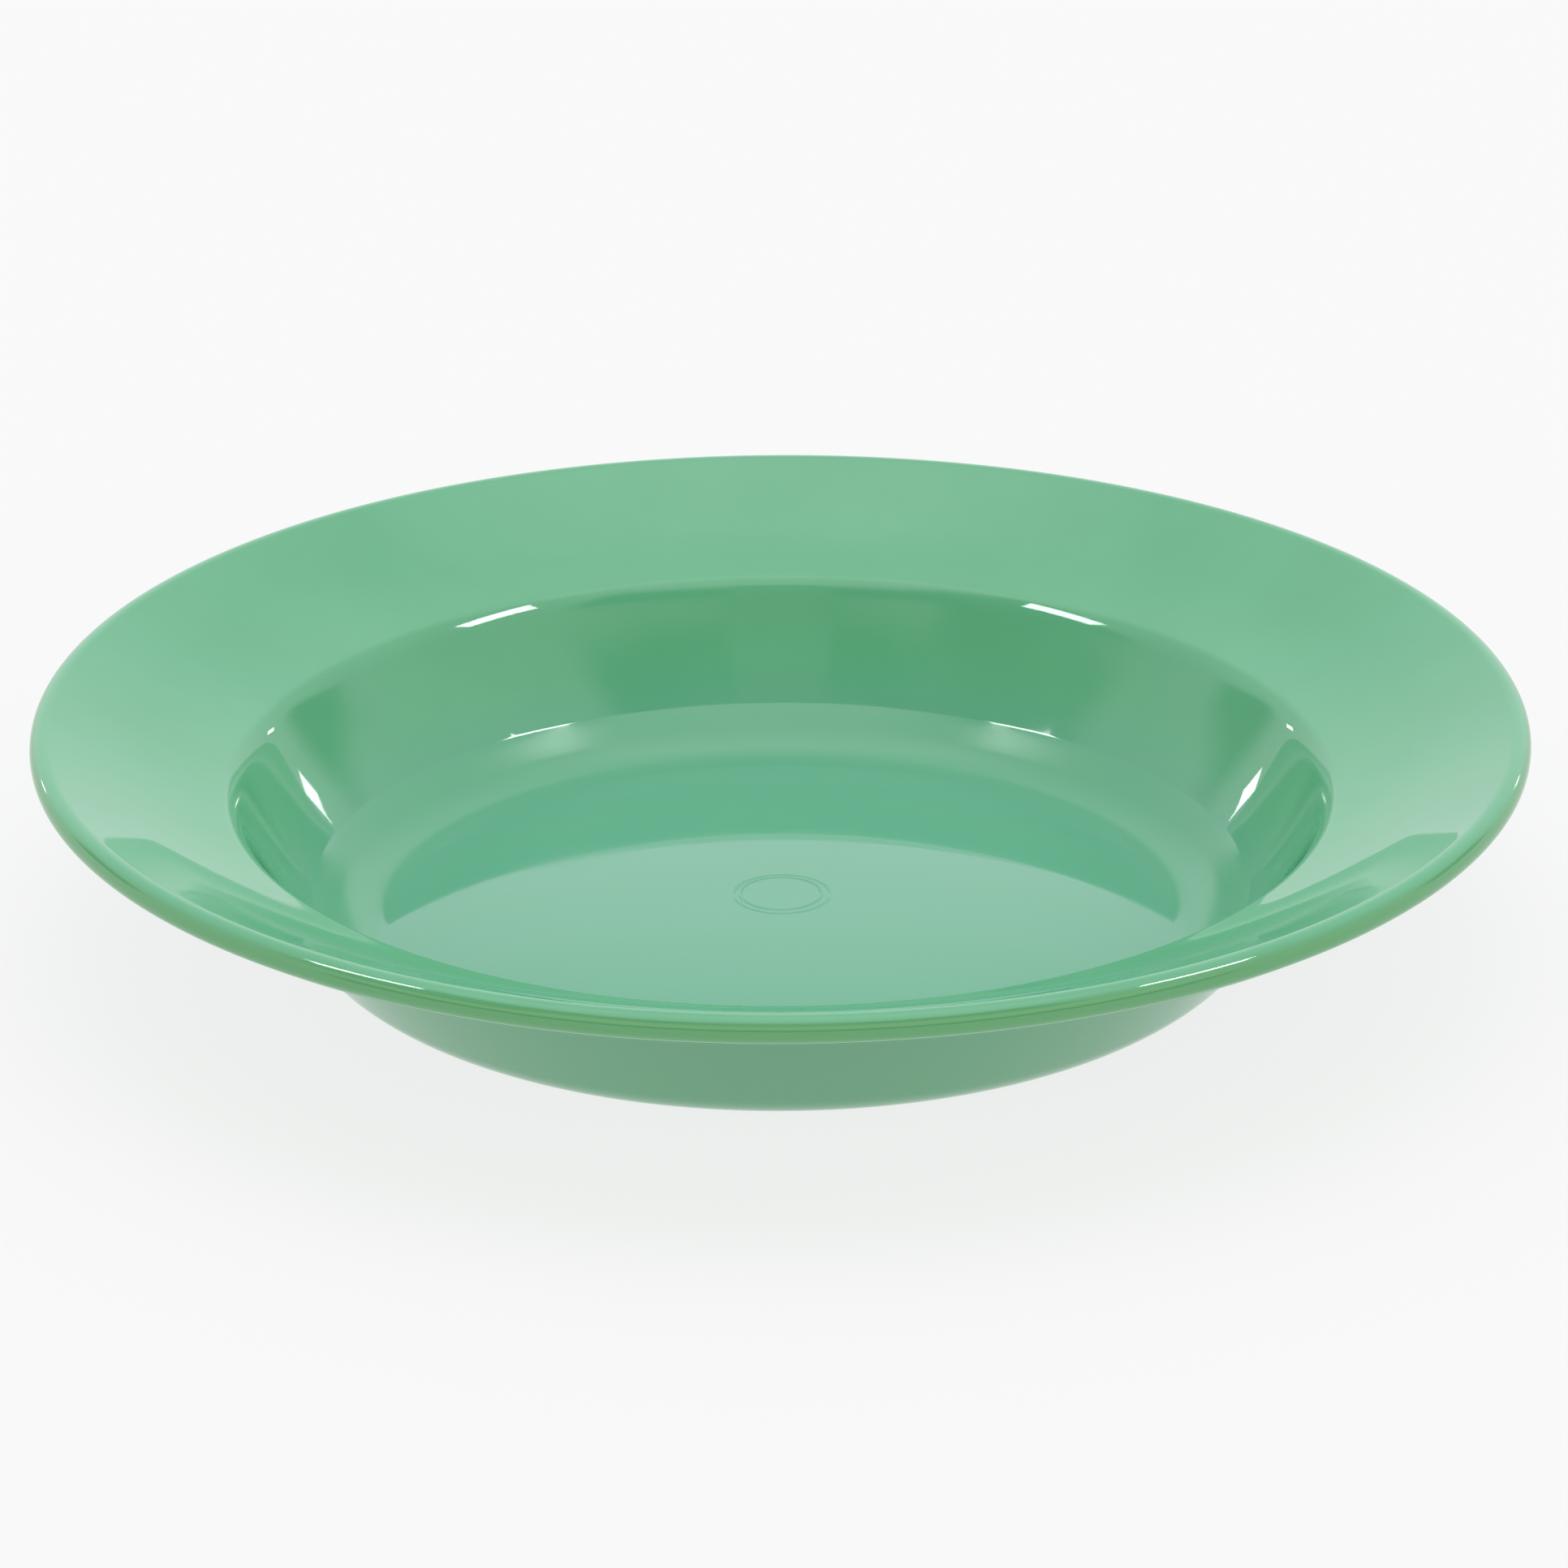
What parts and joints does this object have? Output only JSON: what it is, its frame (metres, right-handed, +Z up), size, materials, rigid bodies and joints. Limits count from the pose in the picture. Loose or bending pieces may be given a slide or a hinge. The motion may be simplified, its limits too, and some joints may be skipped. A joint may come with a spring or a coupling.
{
  "type": "rimmed soup bowl",
  "caption": "Round shallow bowl with a wide sloping rim, a rounded lip and a foot ring, moulded in one piece of hard glossy plastic.",
  "frame": {"origin": "centre of the foot ring's resting face, at the bottom of the bowl", "axes": "+Z up along the bowl's axis of revolution; +X and +Y lie in the resting plane"},
  "size_m": [0.23, 0.23, 0.0364],
  "materials": {
    "green_plastic": "high gloss, polished mould"
  },
  "bodies": {
    "root": {"bowl_body": "green_plastic"}
  },
  "joints": []
}
